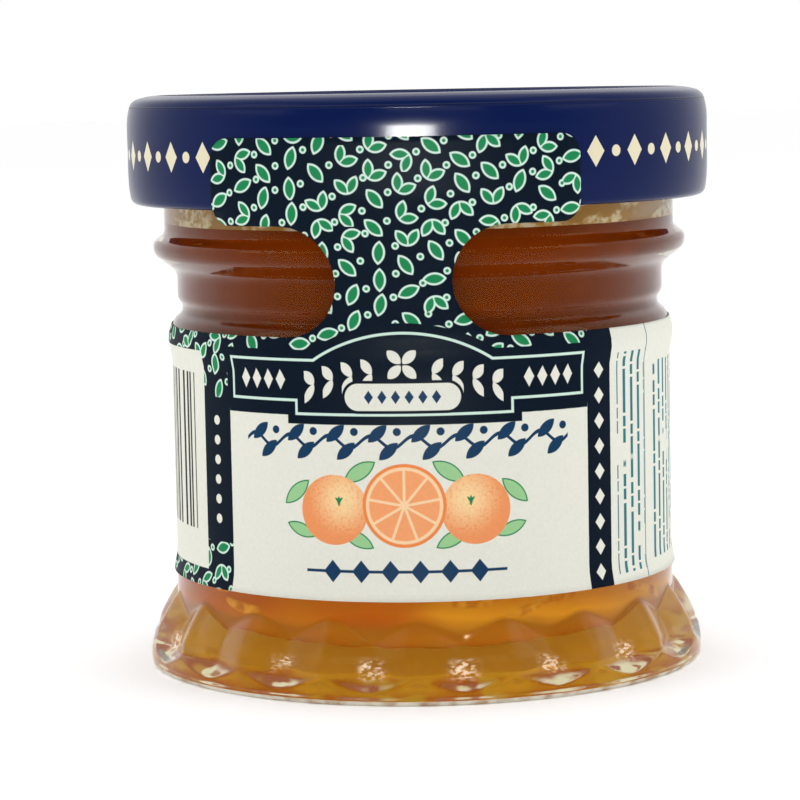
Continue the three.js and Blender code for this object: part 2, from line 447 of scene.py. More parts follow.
@dataclass(frozen=True)
class LidEnamel(Finish):
    """Glossy navy enamel on tinplate, with a row of small cream ornaments round the skirt."""

    title: ClassVar[str] = "lid_enamel"
    navy: Colour = srgb(2, 21, 72)
    haze: Colour = srgb(8, 28, 76)
    cream: Colour = srgb(226, 218, 188)
    row_height: float = 40.1
    pitch: float = 3.9
    radius: float = 22.7
    mark_half: float = 1.15
    mark_slope: float = 1.45
    dot_radius: float = 0.42
    roughness: float = 0.22

    def paint(self, graph: Graph) -> Socket:
        """Returns the enamel with its ornaments."""
        where = graph.place()
        angle, radius, height = graph.polar(where)
        across = abs((angle * self.radius).repeat(self.pitch))
        rise = abs(height - self.row_height)
        lozenge = across * self.mark_slope + rise - self.mark_half
        aside = across - self.pitch / 2
        dot = (aside * aside + rise * rise).maths("SQRT") - self.dot_radius
        marks = lozenge.fill().most(dot.fill()) * (radius > self.radius - 0.3)
        haze = graph.cloud(where, 6.0, 3.0)
        navy = graph.mix(haze * 0.3, self.navy, self.haze)
        return graph.surface({
            "Base Color": graph.mix(marks, navy, self.cream),
            "Roughness": self.roughness + (haze - 0.5) * 0.1,
            "Specular IOR Level": 0.06,
            "Coat Weight": 0.09,
            "Coat Roughness": 0.13,
            "Normal": graph.bump(graph.cloud(where, 8.0, 1.0), 0.05),
        })


class Leaf(NamedTuple):
    """A pointed leaf of the print: its middle, its turn in degrees, and its size."""

    across: float
    up: float
    turn: float
    half_length: float
    half_width: float


class Art:
    """Draws a label's print as masks, on a flat sheet measured in millimetres."""

    def __init__(self, graph: Graph, across: Socket, up: Socket) -> None:
        """Keeps the sheet's two coordinates."""
        self.graph = graph
        self.across = across
        self.up = up

    def moved(self, across: float, up: float) -> "Art":
        """Returns the same sheet measured from another point."""
        return Art(self.graph, self.across - across, self.up - up)

    def turned(self, degrees: float) -> "Art":
        """Returns the sheet turned about its origin."""
        c, s = math.cos(math.radians(degrees)), math.sin(math.radians(degrees))
        return Art(self.graph, self.across * c + self.up * s, self.up * c - self.across * s)

    def folded(self) -> "Art":
        """Returns the sheet folded on its upright middle line, so that a mark shows on both sides."""
        return Art(self.graph, abs(self.across), self.up)

    def row(self, pitch: float) -> "Art":
        """Returns a level row of cells, measured from each cell's middle."""
        return Art(self.graph, self.across.repeat(pitch), self.up)

    def column(self, pitch: float) -> "Art":
        """Returns an upright row of cells, measured from each cell's middle."""
        return Art(self.graph, self.across, self.up.repeat(pitch))

    def scattered(self, width: float, height: float, stray: float) -> tuple["Art", Socket]:
        """Returns half-dropped cells, each turned and moved a little by chance.

        Args:
            width: A cell's width.
            height: A cell's height.
            stray: How far apart two marks' moves can be.

        Returns:
            The sheet measured from the middle of each cell, and a random number for the cell.
        """
        column = (self.across / width).maths("FLOOR")
        up = self.up / height + abs(column.maths("MODULO", 2)) * 0.5
        row = up.maths("FLOOR")
        cell = self.graph.node("ShaderNodeCombineXYZ", inputs={"X": column, "Y": row})
        chance = self.graph.node("ShaderNodeTexWhiteNoise", {"noise_dimensions": "2D"}, {"Vector": cell})
        angle = chance * TURN
        c, s = angle.maths("COSINE"), angle.maths("SINE")
        x = self.across.repeat(width) + ((chance * 7.3).maths("FRACT") - 0.5) * stray
        y = (up - row - 0.5) * height + ((chance * 13.7).maths("FRACT") - 0.5) * stray
        return Art(self.graph, x * c + y * s, y * c - x * s), chance

    def reach(self) -> Socket:
        """Returns the distance from the origin."""
        return (self.across * self.across + self.up * self.up).maths("SQRT")

    def disc(self, radius: float) -> Socket:
        """Returns the distance outside a disc."""
        return self.reach() - radius

    def box(self, left: float, right: float, low: float, high: float) -> Socket:
        """Returns the distance outside a box."""
        aside = abs(self.across - (left + right) / 2) - (right - left) / 2
        above = abs(self.up - (low + high) / 2) - (high - low) / 2
        return aside.most(above)

    def lozenge(self, half_width: float, half_height: float) -> Socket:
        """Returns roughly the distance outside an upright lozenge."""
        slope = half_height / half_width
        return (abs(self.across) * slope + abs(self.up) - half_height) / math.hypot(1, slope)

    def leaf(self, half_length: float, half_width: float) -> Socket:
        """Returns the distance outside a pointed leaf that lies along the upright."""
        bow = (half_length**2 + half_width**2) / (2 * half_width)
        return Art(self.graph, abs(self.across) + (bow - half_width), self.up).disc(bow)

    def leaves(self, marks: Sequence[Leaf]) -> Socket:
        """Returns the distance outside the nearest of several leaves."""
        sheets = [self.moved(mark.across, mark.up).turned(mark.turn) for mark in marks]
        return reduce(Socket.least, [sheet.leaf(*mark[3:]) for sheet, mark in zip(sheets, marks)])


@dataclass(frozen=True)
class LabelPrint(Finish):
    """The label's print: leaf sprigs on navy, a cream front panel with fruit, and side panels."""

    title: ClassVar[str] = "label_print"
    cream: Colour = srgb(232, 232, 220)
    navy: Colour = srgb(1, 17, 33)
    green: Colour = srgb(30, 136, 82)
    mint: Colour = srgb(212, 238, 224)
    ink: Colour = srgb(20, 58, 92)
    teal: Colour = srgb(46, 120, 130)
    flesh: Colour = srgb(247, 164, 108)
    rind: Colour = srgb(241, 138, 72)
    pith: Colour = srgb(252, 214, 168)
    skin: Colour = srgb(242, 152, 96)
    skin_light: Colour = srgb(253, 216, 160)
    pale_leaf: Colour = srgb(156, 206, 148)
    black: Colour = srgb(24, 26, 34)
    shade: Colour = srgb(40, 50, 58)
    panel_left: float = -14.3
    panel_right: float = 15.1
    strip_left: float = -17.7
    strip_right: float = 17.5
    panel_top: float = 21.1
    strip_top: float = 27.0
    left_strip: tuple[float, float] = (11.0, 22.0)
    left_panel: tuple[float, float] = (8.7, 25.4)
    left_end: float = -36.0
    right_end: float = 40.0
    sprig_cell: tuple[float, float] = (2.1, 1.95)
    banner_half: float = 14.2
    banner_low: float = 22.2
    banner_high: float = 25.2
    dome_half: float = 8.2
    dome_radius: float = 12.0
    plaque_up: float = 22.5
    plaque_half: float = 3.3
    vine_up: float = 19.2
    vine_half: float = 12.8
    vine_pitch: float = 3.2
    rule_up: float = 9.6
    picture_up: float = 14.5
    spokes: int = 9
    fruit_leaves: tuple[Leaf, ...] = (
        Leaf(3.3, 2.5, 58, 1.35, 0.55), Leaf(3.5, -2.5, 118, 1.3, 0.5),
        Leaf(8.3, 0.9, 48, 1.3, 0.5), Leaf(8.0, -1.9, 112, 1.2, 0.45),
    )

    def sprigs(self, art: Art) -> list[Layer]:
        """Returns the ground pattern: leaves, pairs of leaves and dots, green with a pale outline."""
        width, height = self.sprig_cell
        cell, chance = art.scattered(width, height, 0.36)
        pair = cell.folded().leaves([Leaf(0.4, -0.05, -35, 0.66, 0.34)])
        leaf = cell.leaf(0.8, 0.4)
        plain = (chance * 5.9).maths("FRACT") > 0.45
        dots, _ = art.moved(width / 2, height / 4).scattered(width, height, 0.6)
        shapes = (leaf * plain + pair * (1 - plain)).least(dots.moved(0.1, 0).disc(0.2))
        return [(shapes.fill(0.06), self.green), (shapes.stroke(0.15, 0.06), self.mint)]

    def layers(self, art: Art) -> list[Layer]:
        """Draws the whole sheet.

        Args:
            art: The sheet, measured from the tab's middle line and the table.

        Returns:
            Masks and their colours, from the lowest to the uppermost.
        """
        fields = [
            (art.box(self.panel_left, self.panel_right, 0, self.panel_top), self.cream),
            (art.box(self.strip_right, self.right_end, 0, BAND_TOP), self.cream),
            (art.box(self.left_end, self.strip_left, *self.left_panel), self.cream),
            (art.box(self.panel_right, self.strip_right, 0, self.strip_top), self.navy),
            (art.box(self.strip_left, self.panel_left, *self.left_strip), self.navy),
        ]
        centred = art.moved((self.panel_left + self.panel_right) / 2, 0)
        return [
            *self.sprigs(art), *[(field.fill(), colour) for field, colour in fields],
            *self.banner(centred), *self.rows(centred), *self.side_marks(art), *self.fruit(centred),
        ]

    def banner(self, art: Art) -> list[Layer]:
        """Returns the navy cartouche with its dome, plaque and cream ornaments."""
        bar = art.box(-self.banner_half, self.banner_half, self.banner_low, self.banner_high)
        dome = art.moved(0, 15.2).disc(self.dome_radius).most(self.banner_low - 1 - art.up)
        shape = bar.least(dome.most(abs(art.across) - self.dome_half))
        margin = self.banner_half + 0.5
        gap = art.box(-margin, margin, self.panel_top, self.banner_low + 0.2)
        plate = art.moved(0, self.plaque_up)
        plaque = Art(art.graph, (abs(plate.across) - self.plaque_half).most(0), plate.up).disc(1.0)
        beads = plate.row(1.0).lozenge(0.34, 0.5).most(abs(art.across) - 3.0)
        rosette = art.folded().moved(0, 24.9)
        petals = Art(art.graph, rosette.across, abs(rosette.up)).turned(-45)
        petals = petals.moved(0, 0.78).leaf(0.68, 0.38)
        spray = art.folded().moved(0, 24.3)
        sagging = abs(spray.up + spray.across * spray.across * 0.02)
        foliage = Art(art.graph, spray.across.repeat(1.5), sagging).turned(-32)
        foliage = foliage.moved(0, 0.68).leaf(0.72, 0.34)
        foliage = foliage.most(abs(spray.across - 4.56) - 2.98)
        side = art.folded().moved(11.2, 23.7)
        gems = side.row(1.1).lozenge(0.42, 0.75).most(abs(side.across) - 2.2)
        return [
            ((shape - 0.75).least(gap).fill(), self.navy),
            (shape.stroke(0.2), self.mint),
            (petals.least(foliage).least(gems).fill(), self.cream),
            ((plaque - 0.22).fill(), self.navy),
            (plaque.fill(), self.cream),
            (beads.fill(), self.ink),
        ]

    def rows(self, art: Art) -> list[Layer]:
        """Returns the two rows of ornament on the front panel: a vine above, and a rule below."""
        vine = art.moved(0, self.vine_up)
        wave = (vine.across * (TURN / self.vine_pitch)).maths("SINE") * 0.45
        cell = vine.row(self.vine_pitch)
        leaves = cell.leaves([Leaf(-0.3, 0.62, -48, 0.95, 0.42), Leaf(0.5, -0.68, -48, 0.95, 0.42)])
        leaves = leaves.least(cell.moved(1.15, 0.75).disc(0.3)).least(abs(vine.up - wave) - 0.15)
        rule = art.moved(0, self.rule_up)
        gems = rule.row(2.2).lozenge(0.7, 0.85).most(abs(rule.across) - 6.7)
        line = rule.box(-7.6, 7.6, -0.11, 0.11)
        return [
            (leaves.most(abs(vine.across) - self.vine_half).fill(), self.ink),
            (gems.least(line).fill(), self.ink),
        ]

    def side_marks(self, art: Art) -> list[Layer]:
        """Returns what stands on the strips and side panels: gems, thin broken lines and bars."""
        right = art.moved((self.panel_right + self.strip_right) / 2, 0)
        gems = right.column(1.9).lozenge(0.5, 0.62).most(abs(right.up - 16.15) - 8.3)
        left = art.moved((self.panel_left + self.strip_left) / 2, 0)
        studs = left.column(1.5).disc(0.36).most(abs(left.up - 16.5) - 4.6)
        near, pitch = art.moved(18.75, 0), 0.98
        shift = (near.across / pitch).maths("FLOOR") * 0.77
        gaps = abs((near.up + shift + (near.up * 1.3 + shift).maths("SINE")).repeat(2.1)) - 0.85
        fine = (abs(near.across.repeat(pitch)) - 0.17).most(gaps).most(abs(near.across - 1.45) - 1.9)
        fine = fine.most(abs(art.up - 16.5) - 8.4)
        far = art.moved(24.6, 0)
        far_lines = (abs(far.across.repeat(1.15)) - 0.2).most(gaps).most(abs(far.across - 5.4) - 6.6)
        far_lines = far_lines.most(abs(art.up - 16.2) - 7.6)
        bars = art.moved(-27, 0).across
        pulse = (bars * 5.1).maths("SINE") + (bars * 8.3 + 1.1).maths("SINE")
        stripes = ((0.25 - pulse) / 6).most(abs(bars) - 7.6).most(abs(art.up - 17.6) - 6.0)
        return [
            (gems.least(studs).fill(), self.cream),
            (fine.least(far_lines).fill(), self.teal),
            (art.box(22.15, 22.27, 7, 27).fill(), self.teal),
            (stripes.fill(), self.black),
        ]

    def cut(self, art: Art, radius: float) -> list[Layer]:
        """Returns a cut orange of that radius, with its segments round the sheet's origin."""
        angle = art.across.maths("ARCTAN2", art.up)
        aside = abs(angle.repeat(TURN / self.spokes)) * art.reach()
        segments = (0.1 - (TURN / self.spokes / 2 * art.reach() - aside)).most(art.disc(radius * 0.84))
        return [
            (art.disc(radius).fill(), self.rind),
            (art.disc(radius * 0.92).fill(), self.pith),
            (segments.most(0.3 - art.reach()).fill(), self.flesh),
        ]

    def whole(self, art: Art, radius: float) -> list[Layer]:
        """Returns a whole orange of that radius, softly shaded, with a small star at its stalk."""
        light = art.moved(-0.25 * radius, 0.3 * radius).reach().ramp(0.1 * radius, 1.2 * radius)
        point = art.graph.node("ShaderNodeCombineXYZ", inputs={"X": art.across, "Y": art.up})
        pores = art.graph.cloud(point, 0.22, 1.0).ramp(0.5, 0.7) * 0.35
        skin = art.graph.mix((light + pores).least(1), self.skin_light, self.skin)
        star = art.moved(-0.15 * radius, 0.25 * radius)
        rays = star.folded().turned(-45).leaf(0.42, 0.12).least(star.leaf(0.4, 0.12))
        return [(art.disc(radius).fill(), skin), (rays.fill(), self.green)]

    def fruit(self, art: Art) -> list[Layer]:
        """Returns the picture: a cut orange between two whole ones, with leaves round them."""
        picture = art.moved(0, self.picture_up)
        both = picture.folded()
        leaves = both.leaves(self.fruit_leaves)
        return [
            (leaves.fill(), self.pale_leaf), (leaves.stroke(0.1), self.green),
            *self.whole(both.moved(5.3, -0.35), 2.6), *self.cut(picture, 3.1),
        ]

    def paint(self, graph: Graph) -> Socket:
        """Returns the printed face of the paper."""
        sheet = graph.node("ShaderNodeUVMap", {"uv_map": PRINT_MAP})
        across, up, _ = graph.split(sheet)
        colour: Paint = self.navy
        for mask, ink in self.layers(Art(graph, across, up)):
            colour = graph.mix(mask, colour, ink)
        where = graph.place()
        fibres = graph.cloud(where, 0.25, 3.0)
        return graph.surface({
            "Base Color": graph.mix(fibres * 0.12, colour, self.shade),
            "Roughness": 0.5 + (fibres - 0.5) * 0.2,
            "Specular IOR Level": 0.04,
            "Normal": graph.bump(graph.cloud(where, 1.6, 3.0), 0.03),
        })


@dataclass(frozen=True)
class PlainPaper(Finish):
    """The unprinted back of the label."""

    title: ClassVar[str] = "label_back"
    white: Colour = srgb(226, 224, 214)
    fibre: Colour = srgb(200, 198, 186)

    def paint(self, graph: Graph) -> Socket:
        """Returns the bare paper."""
        fibres = graph.cloud(graph.place(), 0.3, 3.0)
        return graph.surface({
            "Base Color": graph.mix(fibres * 0.3, self.white, self.fibre),
            "Roughness": 0.8,
        })


@dataclass(frozen=True)
class DriedSmear(Finish):
    """A thin pale smear of foam and jelly left on the glass above the filling."""

    title: ClassVar[str] = "dried_smear"
    foam: Colour = srgb(232, 212, 172)
    jelly: Colour = srgb(190, 138, 62)

    def paint(self, graph: Graph) -> Socket:
        """Returns the smear, broken into patches."""
        where = graph.place()
        patches = graph.cloud(where, 3.0, 4.0, (1, 1, 2))
        froth = graph.cloud(where, 0.6, 3.0)
        dried = patches.ramp(0.46, 0.56) * froth.ramp(0.35, 0.6)
        return graph.surface({
            "Base Color": graph.mix(dried, self.jelly, self.foam),
            "Roughness": 0.5,
            "Specular IOR Level": 0.1,
            "Alpha": 0.75 + patches.ramp(0.4, 0.6) * 0.25,
        })


@dataclass(frozen=True)
class PaleFloor(Finish):
    """A plain pale studio surface."""

    title: ClassVar[str] = "pale_floor"
    colour: Colour = srgb(253, 253, 253)
    own_light: float = 0.1

    def paint(self, graph: Graph) -> Socket:
        """Returns the floor's paint."""
        return graph.glowing(self.colour, self.own_light, {"Roughness": 0.9, "Specular IOR Level": 0.1})


class Corner(NamedTuple):
    """A point of a section: its radius and height, and how far from it its rounding starts."""

    radius: float
    height: float
    setback: float = 0.0


def rounded(corners: Sequence[Corner], steps: int = 6) -> list[Vector]:
    """Draws a section with its corners rounded.

    Args:
        corners: The section's corners, in order.
        steps: How many pieces a rounding has.

    Returns:
        Points as (radius, height).
    """
    line: list[Vector] = []
    for i, corner in enumerate(corners):
        here = Vector(corner[:2])
        if corner.setback == 0.0 or i in (0, len(corners) - 1):
            line.append(here)
            continue
        before = here + (Vector(corners[i - 1][:2]) - here).normalized() * corner.setback
        after = here + (Vector(corners[i + 1][:2]) - here).normalized() * corner.setback
        for step in range(steps + 1):
            t = step / steps
            line.append(before.lerp(here, t).lerp(here.lerp(after, t), t))
    return line


def revolve(section: Sequence[Vector], steps: int) -> bmesh.types.BMesh:
    """Turns a section about the jar's axis.

    Args:
        section: Points as (radius, height), in millimetres.
        steps: How many steps the turn has.

    Returns:
        The turned shape, in millimetres, closed where the section meets the axis.
    """
    bm = bmesh.new()
    verts = [bm.verts.new((0, -point[0], point[1])) for point in section]
    edges = [bm.edges.new(pair) for pair in zip(verts, verts[1:])]
    bmesh.ops.spin(
        bm, geom=[*verts, *edges], cent=(0, 0, 0), axis=(0, 0, 1), dvec=(0, 0, 0),
        angle=TURN, steps=steps, use_merge=True, use_normal_flip=False, use_duplicate=False,
    )
    bmesh.ops.remove_doubles(bm, verts=bm.verts, dist=1e-4)
    bmesh.ops.recalc_face_normals(bm, faces=bm.faces)
    return bm


def make_piece(
    name: str,
    bm: bmesh.types.BMesh,
    materials: Sequence[bpy.types.Material],
    slot: str | None,
    nodes: Sequence[str] = (),
) -> bpy.types.Object:
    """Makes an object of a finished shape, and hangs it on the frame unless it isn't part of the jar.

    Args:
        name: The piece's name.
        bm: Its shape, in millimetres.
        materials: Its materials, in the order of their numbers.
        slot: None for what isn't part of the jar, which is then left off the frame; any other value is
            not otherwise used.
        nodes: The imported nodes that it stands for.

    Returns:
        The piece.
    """
    bmesh.ops.scale(bm, vec=(MM, MM, MM), verts=bm.verts)
    mesh = bpy.data.meshes.new(name)
    bm.to_mesh(mesh)
    bm.free()
    for material in materials:
        mesh.materials.append(material)
    mesh.shade_smooth()
    piece = bpy.data.objects.new(name, mesh)
    bpy.context.scene.collection.objects.link(piece)
    if slot is None:
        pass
    else:
        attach(piece, BODY)
        if nodes:
            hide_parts(*nodes)
    return piece


@dataclass
class KnobBelt:
    """The foot's ring of faceted knobs, as the outer radius at an angle and height."""

    count: int = 19
    turn: float = math.radians(-2.4)
    radius: float = 21.9
    body_radius: float = 19.72
    facet_turn: float = math.radians(23.5)
    ridge_turn: float = math.radians(1.3)
    shoulder: float = 2.9
    lean: float = 0.58
    top: float = 5.45
    top_lean: float = 1.3
    bottom: float = 0.6
    end: float = 6.9
    softness: float = 0.22
    edge_softness: float = 0.3
    arch: float = 1.35
    arch_power: float = 1.6
    ring_slope: float = 0.95
    brim_low: float = 1.05
    brim_rise: float = 0.9
    inset: float = 0.03

    def larger(self, one: float, other: float) -> float:
        """Returns the larger of two radii, with a rounded crease between them."""
        return 0.5 * (one + other + math.hypot(one - other, self.softness))

    def smaller(self, one: float, other: float) -> float:
        """Returns the smaller of two radii, with a rounded edge between them."""
        return 0.5 * (one + other - math.hypot(one - other, self.edge_softness))

    def outer(self, angle: float, height: float) -> float:
        """Works out the outside of the belt.

        Args:
            angle: The angle from the front.
            height: The height.

        Returns:
            The radius there.
        """
        pitch = TURN / self.count
        share = (angle - self.turn) / pitch
        aside = abs(share - round(share)) * pitch
        valley = 2 * aside / pitch
        aside = math.hypot(aside, self.ridge_turn)
        facet = math.cos(self.facet_turn) / math.cos(aside - self.facet_turn)
        wall = self.radius * facet
        leaning = (self.radius - self.lean * (height - self.shoulder)) * facet
        crest = self.radius - self.lean * (self.top - self.shoulder)
        edge = self.top - self.arch * valley**self.arch_power
        steep = (crest - self.top_lean * (height - edge)) * facet**0.5
        knob = self.smaller(self.smaller(wall, leaning), steep)
        brim = self.brim_low + self.brim_rise * (1 - valley) ** 1.5
        ring = self.radius - self.ring_slope * max(0.0, height - brim)
        return min(self.radius, self.larger(self.larger(knob, ring), self.body_radius) - self.inset)


@dataclass
class GlassJar:
    """The jar's glass, in one piece from the foot ring to the rim."""

    belt: KnobBelt
    body_radius: float = 19.5
    ridge_radius: float = 19.76
    shoulder_radius: float = 19.42
    neck_radius: float = 19.1
    groove_radius: float = 18.75
    bead_radius: float = 20.9
    mouth_radius: float = 20.0
    groove: tuple[float, float] = (27.75, 28.3)
    neck: tuple[float, float] = (28.85, 30.9)
    bead: tuple[float, float] = (32.3, 33.25)
    mouth: float = 33.9
    cavity_radius: float = 15.9
    cavity_flare: float = 1.0
    floor: float = 2.2
    rim: float = 43.3
    kick: float = 0.6
    frost_radius: float = 19.9
    frost_top: float = 0.42
    steps_per_knob: int = 22
    belt_rows: int = 44

    def outside(self) -> list[Vector]:
        """Returns the outer section, from the middle of the underside to the rim."""
        line = rounded([
            Corner(0, self.kick),
            Corner(15.4, self.kick, 0.8),
            Corner(17.2, 0.0, 0.5),
            Corner(self.frost_radius, 0.0),
            Corner(self.belt.radius, 0.0, 0.55),
            Corner(self.belt.radius, self.belt.bottom),
        ])
        rise = (self.belt.end - self.belt.bottom) / self.belt_rows
        for row in range(1, self.belt_rows + 1):
            line.append(Vector((self.belt.body_radius, self.belt.bottom + row * rise)))
        upper = [
            Corner(self.belt.body_radius, self.belt.end),
            Corner(self.ridge_radius, BAND_BOTTOM + 0.7, 0.4),
            Corner(self.body_radius, BAND_BOTTOM + 1.8, 0.5),
            Corner(self.body_radius, BAND_TOP - 2.8, 0.5),
            Corner(self.ridge_radius, BAND_TOP - 1.7, 0.4),
            Corner(self.ridge_radius, BAND_TOP - 0.9, 0.5),
            Corner(self.shoulder_radius, BAND_TOP + 0.35, 0.4),
            Corner(self.groove_radius, self.groove[0], 0.25),
            Corner(self.groove_radius, self.groove[1], 0.2),
            Corner(self.neck_radius, self.neck[0], 0.3),
            Corner(self.neck_radius, self.neck[1], 0.6),
            Corner(self.bead_radius, self.bead[0], 0.5),
            Corner(self.bead_radius, self.bead[1], 0.35),
            Corner(self.mouth_radius, self.mouth, 0.3),
            Corner(self.mouth_radius, self.rim, 0.6),
            Corner(self.cavity_radius + self.cavity_flare, self.rim, 0.8),
        ]
        return line + rounded(upper)[1:]

    def inside(self, into_wall: float = 0.0) -> list[Vector]:
        """Draws the cavity's section.

        Args:
            into_wall: How far the section lies inside the glass.

        Returns:
            Its points, from the axis outwards and up.
        """
        radius = self.cavity_radius + into_wall
        corners = [
            Corner(0, self.floor + 0.3 - into_wall),
            Corner(radius, self.floor - into_wall, 2.2),
            Corner(radius, 23.8, 2.0),
            Corner(radius + 0.3, 29.9, 2.0),
            Corner(radius + self.cavity_flare, self.mouth, 1.5),
            Corner(radius + self.cavity_flare, self.rim),
        ]
        return rounded(corners, 10)

    def build(self) -> bpy.types.Object:
        """Returns the finished glass."""
        section = self.outside() + self.inside()[::-1][1:]
        bm = revolve(section, self.belt.count * self.steps_per_knob)
        for vert in bm.verts:
            radius = math.hypot(vert.co.x, vert.co.y)
            if self.belt.bottom <= vert.co.z <= self.belt.end and radius > self.body_radius:
                outer = self.belt.outer(math.atan2(vert.co.x, -vert.co.y), vert.co.z)
                vert.co.x *= outer / radius
                vert.co.y *= outer / radius
        for face in bm.faces:
            middle = face.calc_center_median()
            radius = math.hypot(middle.x, middle.y)
            if radius > self.frost_radius and middle.z < self.frost_top:
                face.material_index = 1
            elif radius < self.frost_radius and middle.z < self.kick + 0.1:
                face.material_index = 2
        bmesh.ops.recalc_face_normals(bm, faces=bm.faces)
        materials = [ClearGlass(self.belt).material(), FrostedRing().material(), AmberFoot().material()]
        return make_piece("glass_jar", bm, materials, "glass", ["jar"])


@dataclass
class Filling:
    """The marmalade, the smear above it and the strips of peel that hang in it."""

    jar: GlassJar
    level: float = 34.6
    into_wall: float = 0.08
    steps: int = 128
    peel_zone: tuple[float, float] = (5.6, 7.6)
    peel_count: int = 13
    smear_height: float = 2.6
    smear_rows: int = 8
    chance: Random = field(default_factory=lambda: Random(5))

    def build(self) -> bpy.types.Object:
        """Returns the marmalade, reaching just into the glass."""
        wall = [point for point in self.jar.inside(self.into_wall) if point.y < self.level]
        edge = wall[-1].x
        top = [(edge, self.level), (edge - 0.6, self.level - 0.25), (0, self.level - 0.4)]
        bm = revolve([*wall, *map(Vector, top)], self.steps)
        return make_piece("marmalade_fill", bm, [FruitJelly().material()], "marmalade", ["marmalade"])

    def build_peel(self) -> bpy.types.Object:
        """Returns shreds of peel that lie against the glass near the foot."""
        bm = bmesh.new()
        for i in range(self.peel_count):
            angle = TURN * (i + self.chance.uniform(0.1, 0.9)) / self.peel_count
            self.add_shred(bm, angle, self.chance.uniform(*self.peel_zone))
        bmesh.ops.recalc_face_normals(bm, faces=bm.faces)
        return make_piece("peel_shreds", bm, [CandiedPeel().material()], "marmalade")

    def add_shred(self, bm: bmesh.types.BMesh, angle: float, height: float) -> None:
        """Adds one shred, a thin leaf-ended strip bent against the wall.

        Args:
            bm: The mesh that it joins.
            angle: The direction that it lies in.
            height: Its middle's height.
        """
        half_length = self.chance.uniform(2.2, 4.2)
        half_width = self.chance.uniform(0.45, 0.8)
        slant = self.chance.uniform(-0.35, 0.35)
        bow = self.chance.uniform(-0.8, 0.8)
        made = bmesh.ops.create_grid(bm, x_segments=14, y_segments=4, size=1.0)
        for vert in made["verts"]:
            t, u = vert.co.x, vert.co.y
            along = t * half_length
            rise = height + along * slant + bow * t * t + u * half_width * (1 - 0.7 * t**4)
            radius = self.jar.cavity_radius + self.into_wall + 0.05 - 0.25 * max(abs(t), abs(u)) ** 6
            turn = angle + along / radius
            vert.co = Vector((radius * math.sin(turn), -radius * math.cos(turn), rise))

    def build_smear(self) -> bpy.types.Object:
        """Returns the thin smear on the glass between the filling and the lid."""
        radius = self.jar.cavity_radius + self.jar.cavity_flare + self.into_wall
        step = self.smear_height / self.smear_rows
        rows = range(self.smear_rows + 1)
        section = [Vector((radius, self.level - 0.1 + row * step)) for row in rows]
        bm = revolve(section, self.steps)
        return make_piece("smear_above_filling", bm, [DriedSmear().material()], "marmalade")


@dataclass
class TwistLid:
    """The pressed lid, an inverted cup with its lower edge rolled in."""

    top: float
    bottom: float
    radius: float
    thickness: float = 0.28
    corner: float = 1.6
    panel_radius: float = 19.6
    panel_depth: float = 0.5
    curl: float = 0.72
    steps: int = 240

    def build(self) -> bpy.types.Object:
        """Returns the lid."""
        t = self.thickness
        inner = self.radius - t
        panel = self.top - self.panel_depth
        fold = self.bottom + 2 * self.curl
        corners = [
            Corner(0, panel - t),
            Corner(self.panel_radius, panel - t, 0.25),
            Corner(self.panel_radius + 0.5, self.top - t, 0.25),
            Corner(inner, self.top - t, self.corner - t),
            Corner(inner, fold, 0.4),
            Corner(self.radius - 2 * self.curl, fold, 0.5),
            Corner(self.radius - 2 * self.curl, self.bottom, 0.7),
            Corner(self.radius - 0.25, self.bottom, 0.6),
            Corner(self.radius - 0.05, fold - 0.2, 0.5),
            Corner(self.radius, self.bottom + 2.6, 0.6),
            Corner(self.radius, self.top - 1.6, 0.8),
            Corner(self.radius - 0.35, self.top - 0.4, 0.55),
            Corner(self.radius - 1.7, self.top, 0.8),
            Corner(self.panel_radius + 0.5, self.top, 0.3),
            Corner(self.panel_radius, panel, 0.3),
            Corner(0, panel),
        ]
        bm = revolve(rounded(corners), self.steps)
        return make_piece("twist_lid", bm, [LidEnamel().material()], "lid_paint", ["lid"])


